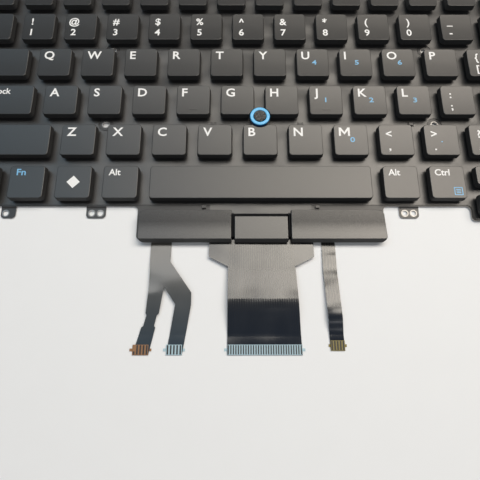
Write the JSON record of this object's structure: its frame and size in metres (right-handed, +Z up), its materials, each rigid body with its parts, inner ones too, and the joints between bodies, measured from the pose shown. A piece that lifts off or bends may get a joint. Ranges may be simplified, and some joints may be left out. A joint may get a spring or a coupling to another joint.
{
  "type": "laptop keyboard",
  "caption": "Laptop replacement keyboard without a bezel: low keys on a steel plate, a pointing stick, mouse buttons and flat ribbon tails.",
  "frame": {"origin": "on the underside, in the middle of the key field", "axes": "+X to the typist's right, +Y away from the typist, +Z up out of the keys"},
  "size_m": [0.2846, 0.1661, 0.0066],
  "materials": {
    "keycap": "satin black, slightly glossy sides",
    "mouse_button": "satin black",
    "plate_steel": "dark satin paint",
    "membrane_film": "satin dark grey",
    "light_guide": "milky, smooth",
    "bottom_film": "matt black",
    "dome_rubber": "matt translucent",
    "scissor_plastic": "satin",
    "spring_wire": "drawn wire",
    "sensor_metal": "plain",
    "stick_rubber": "matt, textured top",
    "ring_blue": "satin light blue",
    "bracket_plastic": "matt black",
    "flex_film": "glossy dark film",
    "stiffener_film": "glossy film"
  },
  "bodies": {
    "base": {"base_plate": "plate_steel", "membrane": "membrane_film", "backlight_sheet": "light_guide", "bottom_film": "bottom_film", "rubber_domes": "dome_rubber", "outer_scissor_links": "scissor_plastic", "inner_scissor_links": "scissor_plastic", "stick_sensor": "sensor_metal", "stick_cap": "stick_rubber", "stick_ring": "ring_blue", "button_bracket": "bracket_plastic", "pointer_flex": "flex_film", "backlight_flex": "flex_film", "tail_stiffeners": "stiffener_film", "upper_letter_keycaps": "keycap", "number_keycaps": "keycap", "function_keycaps": "keycap"},
    "caps_lock_cap": {"key_caps_lock": "keycap"},
    "a_cap": {"key_a": "keycap"},
    "s_cap": {"key_s": "keycap"},
    "d_cap": {"key_d": "keycap"},
    "f_cap": {"key_f": "keycap"},
    "g_cap": {"key_g": "keycap"},
    "h_cap": {"key_h": "keycap"},
    "j_cap": {"key_j": "keycap"},
    "k_cap": {"key_k": "keycap"},
    "l_cap": {"key_l": "keycap"},
    "semicolon_cap": {"key_semicolon": "keycap"},
    "quote_cap": {"key_quote": "keycap"},
    "enter_cap": {"key_enter": "keycap"},
    "shift_left_cap": {"key_shift_left": "keycap"},
    "z_cap": {"key_z": "keycap"},
    "x_cap": {"key_x": "keycap"},
    "c_cap": {"key_c": "keycap"},
    "v_cap": {"key_v": "keycap"},
    "b_cap": {"key_b": "keycap"},
    "n_cap": {"key_n": "keycap"},
    "m_cap": {"key_m": "keycap"},
    "comma_cap": {"key_comma": "keycap"},
    "period_cap": {"key_period": "keycap"},
    "slash_cap": {"key_slash": "keycap"},
    "shift_right_cap": {"key_shift_right": "keycap"},
    "ctrl_left_cap": {"key_ctrl_left": "keycap"},
    "fn_cap": {"key_fn": "keycap"},
    "system_cap": {"key_system": "keycap"},
    "alt_left_cap": {"key_alt_left": "keycap"},
    "space_cap": {"key_space": "keycap"},
    "alt_right_cap": {"key_alt_right": "keycap"},
    "ctrl_right_cap": {"key_ctrl_right": "keycap"},
    "page_up_cap": {"key_page_up": "keycap"},
    "arrow_up_cap": {"key_arrow_up": "keycap"},
    "page_down_cap": {"key_page_down": "keycap"},
    "arrow_left_cap": {"key_arrow_left": "keycap"},
    "arrow_down_cap": {"key_arrow_down": "keycap"},
    "arrow_right_cap": {"key_arrow_right": "keycap"},
    "left_mouse_button_cap": {"left_mouse_button": "mouse_button"},
    "middle_mouse_button_cap": {"middle_mouse_button": "mouse_button"},
    "right_mouse_button_cap": {"right_mouse_button": "mouse_button"},
    "stabiliser": {"space_stabiliser": "spring_wire"}
  },
  "joints": [
    {"name": "caps_lock_press", "type": "slide", "parent": "base", "child": "caps_lock_cap", "axis": [0, 0, -1], "range_m": [0, 0.0016], "stiffness_N_per_m": 250, "springref_m": -0.0008, "deforming": ["rubber_domes"]},
    {"name": "a_press", "type": "slide", "parent": "base", "child": "a_cap", "axis": [0, 0, -1], "range_m": [0, 0.0016], "stiffness_N_per_m": 250, "springref_m": -0.0008, "deforming": ["rubber_domes"]},
    {"name": "s_press", "type": "slide", "parent": "base", "child": "s_cap", "axis": [0, 0, -1], "range_m": [0, 0.0016], "stiffness_N_per_m": 250, "springref_m": -0.0008, "deforming": ["rubber_domes"]},
    {"name": "d_press", "type": "slide", "parent": "base", "child": "d_cap", "axis": [0, 0, -1], "range_m": [0, 0.0016], "stiffness_N_per_m": 250, "springref_m": -0.0008, "deforming": ["rubber_domes"]},
    {"name": "f_press", "type": "slide", "parent": "base", "child": "f_cap", "axis": [0, 0, -1], "range_m": [0, 0.0016], "stiffness_N_per_m": 250, "springref_m": -0.0008, "deforming": ["rubber_domes"]},
    {"name": "g_press", "type": "slide", "parent": "base", "child": "g_cap", "axis": [0, 0, -1], "range_m": [0, 0.0016], "stiffness_N_per_m": 250, "springref_m": -0.0008, "deforming": ["rubber_domes"]},
    {"name": "h_press", "type": "slide", "parent": "base", "child": "h_cap", "axis": [0, 0, -1], "range_m": [0, 0.0016], "stiffness_N_per_m": 250, "springref_m": -0.0008, "deforming": ["rubber_domes"]},
    {"name": "j_press", "type": "slide", "parent": "base", "child": "j_cap", "axis": [0, 0, -1], "range_m": [0, 0.0016], "stiffness_N_per_m": 250, "springref_m": -0.0008, "deforming": ["rubber_domes"]},
    {"name": "k_press", "type": "slide", "parent": "base", "child": "k_cap", "axis": [0, 0, -1], "range_m": [0, 0.0016], "stiffness_N_per_m": 250, "springref_m": -0.0008, "deforming": ["rubber_domes"]},
    {"name": "l_press", "type": "slide", "parent": "base", "child": "l_cap", "axis": [0, 0, -1], "range_m": [0, 0.0016], "stiffness_N_per_m": 250, "springref_m": -0.0008, "deforming": ["rubber_domes"]},
    {"name": "semicolon_press", "type": "slide", "parent": "base", "child": "semicolon_cap", "axis": [0, 0, -1], "range_m": [0, 0.0016], "stiffness_N_per_m": 250, "springref_m": -0.0008, "deforming": ["rubber_domes"]},
    {"name": "quote_press", "type": "slide", "parent": "base", "child": "quote_cap", "axis": [0, 0, -1], "range_m": [0, 0.0016], "stiffness_N_per_m": 250, "springref_m": -0.0008, "deforming": ["rubber_domes"]},
    {"name": "enter_press", "type": "slide", "parent": "base", "child": "enter_cap", "axis": [0, 0, -1], "range_m": [0, 0.0016], "stiffness_N_per_m": 250, "springref_m": -0.0008, "deforming": ["rubber_domes"]},
    {"name": "shift_left_press", "type": "slide", "parent": "base", "child": "shift_left_cap", "axis": [0, 0, -1], "range_m": [0, 0.0016], "stiffness_N_per_m": 250, "springref_m": -0.0008, "deforming": ["rubber_domes"]},
    {"name": "z_press", "type": "slide", "parent": "base", "child": "z_cap", "axis": [0, 0, -1], "range_m": [0, 0.0016], "stiffness_N_per_m": 250, "springref_m": -0.0008, "deforming": ["rubber_domes"]},
    {"name": "x_press", "type": "slide", "parent": "base", "child": "x_cap", "axis": [0, 0, -1], "range_m": [0, 0.0016], "stiffness_N_per_m": 250, "springref_m": -0.0008, "deforming": ["rubber_domes"]},
    {"name": "c_press", "type": "slide", "parent": "base", "child": "c_cap", "axis": [0, 0, -1], "range_m": [0, 0.0016], "stiffness_N_per_m": 250, "springref_m": -0.0008, "deforming": ["rubber_domes"]},
    {"name": "v_press", "type": "slide", "parent": "base", "child": "v_cap", "axis": [0, 0, -1], "range_m": [0, 0.0016], "stiffness_N_per_m": 250, "springref_m": -0.0008, "deforming": ["rubber_domes"]},
    {"name": "b_press", "type": "slide", "parent": "base", "child": "b_cap", "axis": [0, 0, -1], "range_m": [0, 0.0016], "stiffness_N_per_m": 250, "springref_m": -0.0008, "deforming": ["rubber_domes"]},
    {"name": "n_press", "type": "slide", "parent": "base", "child": "n_cap", "axis": [0, 0, -1], "range_m": [0, 0.0016], "stiffness_N_per_m": 250, "springref_m": -0.0008, "deforming": ["rubber_domes"]},
    {"name": "m_press", "type": "slide", "parent": "base", "child": "m_cap", "axis": [0, 0, -1], "range_m": [0, 0.0016], "stiffness_N_per_m": 250, "springref_m": -0.0008, "deforming": ["rubber_domes"]},
    {"name": "comma_press", "type": "slide", "parent": "base", "child": "comma_cap", "axis": [0, 0, -1], "range_m": [0, 0.0016], "stiffness_N_per_m": 250, "springref_m": -0.0008, "deforming": ["rubber_domes"]},
    {"name": "period_press", "type": "slide", "parent": "base", "child": "period_cap", "axis": [0, 0, -1], "range_m": [0, 0.0016], "stiffness_N_per_m": 250, "springref_m": -0.0008, "deforming": ["rubber_domes"]},
    {"name": "slash_press", "type": "slide", "parent": "base", "child": "slash_cap", "axis": [0, 0, -1], "range_m": [0, 0.0016], "stiffness_N_per_m": 250, "springref_m": -0.0008, "deforming": ["rubber_domes"]},
    {"name": "shift_right_press", "type": "slide", "parent": "base", "child": "shift_right_cap", "axis": [0, 0, -1], "range_m": [0, 0.0016], "stiffness_N_per_m": 250, "springref_m": -0.0008, "deforming": ["rubber_domes"]},
    {"name": "ctrl_left_press", "type": "slide", "parent": "base", "child": "ctrl_left_cap", "axis": [0, 0, -1], "range_m": [0, 0.0016], "stiffness_N_per_m": 250, "springref_m": -0.0008, "deforming": ["rubber_domes"]},
    {"name": "fn_press", "type": "slide", "parent": "base", "child": "fn_cap", "axis": [0, 0, -1], "range_m": [0, 0.0016], "stiffness_N_per_m": 250, "springref_m": -0.0008, "deforming": ["rubber_domes"]},
    {"name": "system_press", "type": "slide", "parent": "base", "child": "system_cap", "axis": [0, 0, -1], "range_m": [0, 0.0016], "stiffness_N_per_m": 250, "springref_m": -0.0008, "deforming": ["rubber_domes"]},
    {"name": "alt_left_press", "type": "slide", "parent": "base", "child": "alt_left_cap", "axis": [0, 0, -1], "range_m": [0, 0.0016], "stiffness_N_per_m": 250, "springref_m": -0.0008, "deforming": ["rubber_domes"]},
    {"name": "space_press", "type": "slide", "parent": "base", "child": "space_cap", "axis": [0, 0, -1], "range_m": [0, 0.0016], "stiffness_N_per_m": 250, "springref_m": -0.0008, "deforming": ["rubber_domes"]},
    {"name": "alt_right_press", "type": "slide", "parent": "base", "child": "alt_right_cap", "axis": [0, 0, -1], "range_m": [0, 0.0016], "stiffness_N_per_m": 250, "springref_m": -0.0008, "deforming": ["rubber_domes"]},
    {"name": "ctrl_right_press", "type": "slide", "parent": "base", "child": "ctrl_right_cap", "axis": [0, 0, -1], "range_m": [0, 0.0016], "stiffness_N_per_m": 250, "springref_m": -0.0008, "deforming": ["rubber_domes"]},
    {"name": "page_up_press", "type": "slide", "parent": "base", "child": "page_up_cap", "axis": [0, 0, -1], "range_m": [0, 0.0016], "stiffness_N_per_m": 250, "springref_m": -0.0008, "deforming": ["rubber_domes"]},
    {"name": "arrow_up_press", "type": "slide", "parent": "base", "child": "arrow_up_cap", "axis": [0, 0, -1], "range_m": [0, 0.0016], "stiffness_N_per_m": 250, "springref_m": -0.0008, "deforming": ["rubber_domes"]},
    {"name": "page_down_press", "type": "slide", "parent": "base", "child": "page_down_cap", "axis": [0, 0, -1], "range_m": [0, 0.0016], "stiffness_N_per_m": 250, "springref_m": -0.0008, "deforming": ["rubber_domes"]},
    {"name": "arrow_left_press", "type": "slide", "parent": "base", "child": "arrow_left_cap", "axis": [0, 0, -1], "range_m": [0, 0.0016], "stiffness_N_per_m": 250, "springref_m": -0.0008, "deforming": ["rubber_domes"]},
    {"name": "arrow_down_press", "type": "slide", "parent": "base", "child": "arrow_down_cap", "axis": [0, 0, -1], "range_m": [0, 0.0016], "stiffness_N_per_m": 250, "springref_m": -0.0008, "deforming": ["rubber_domes"]},
    {"name": "arrow_right_press", "type": "slide", "parent": "base", "child": "arrow_right_cap", "axis": [0, 0, -1], "range_m": [0, 0.0016], "stiffness_N_per_m": 250, "springref_m": -0.0008, "deforming": ["rubber_domes"]},
    {"name": "left_mouse_button_press", "type": "slide", "parent": "base", "child": "left_mouse_button_cap", "axis": [0, 0, -1], "range_m": [0, 0.0007], "stiffness_N_per_m": 600, "springref_m": -0.0004, "deforming": ["rubber_domes"]},
    {"name": "middle_mouse_button_press", "type": "slide", "parent": "base", "child": "middle_mouse_button_cap", "axis": [0, 0, -1], "range_m": [0, 0.0007], "stiffness_N_per_m": 600, "springref_m": -0.0004, "deforming": ["rubber_domes"]},
    {"name": "right_mouse_button_press", "type": "slide", "parent": "base", "child": "right_mouse_button_cap", "axis": [0, 0, -1], "range_m": [0, 0.0007], "stiffness_N_per_m": 600, "springref_m": -0.0004, "deforming": ["rubber_domes"]},
    {"name": "stabiliser_turn", "type": "hinge", "parent": "base", "child": "stabiliser", "pos_m": [-0.01429, -0.03868, 0.00155], "axis": [1, 0, 0], "range_deg": [0, 11.71]}
  ],
  "couplings": [
    {"joint": "stabiliser_turn", "follows": "space_press", "rad_per_m": 126.66}
  ]
}
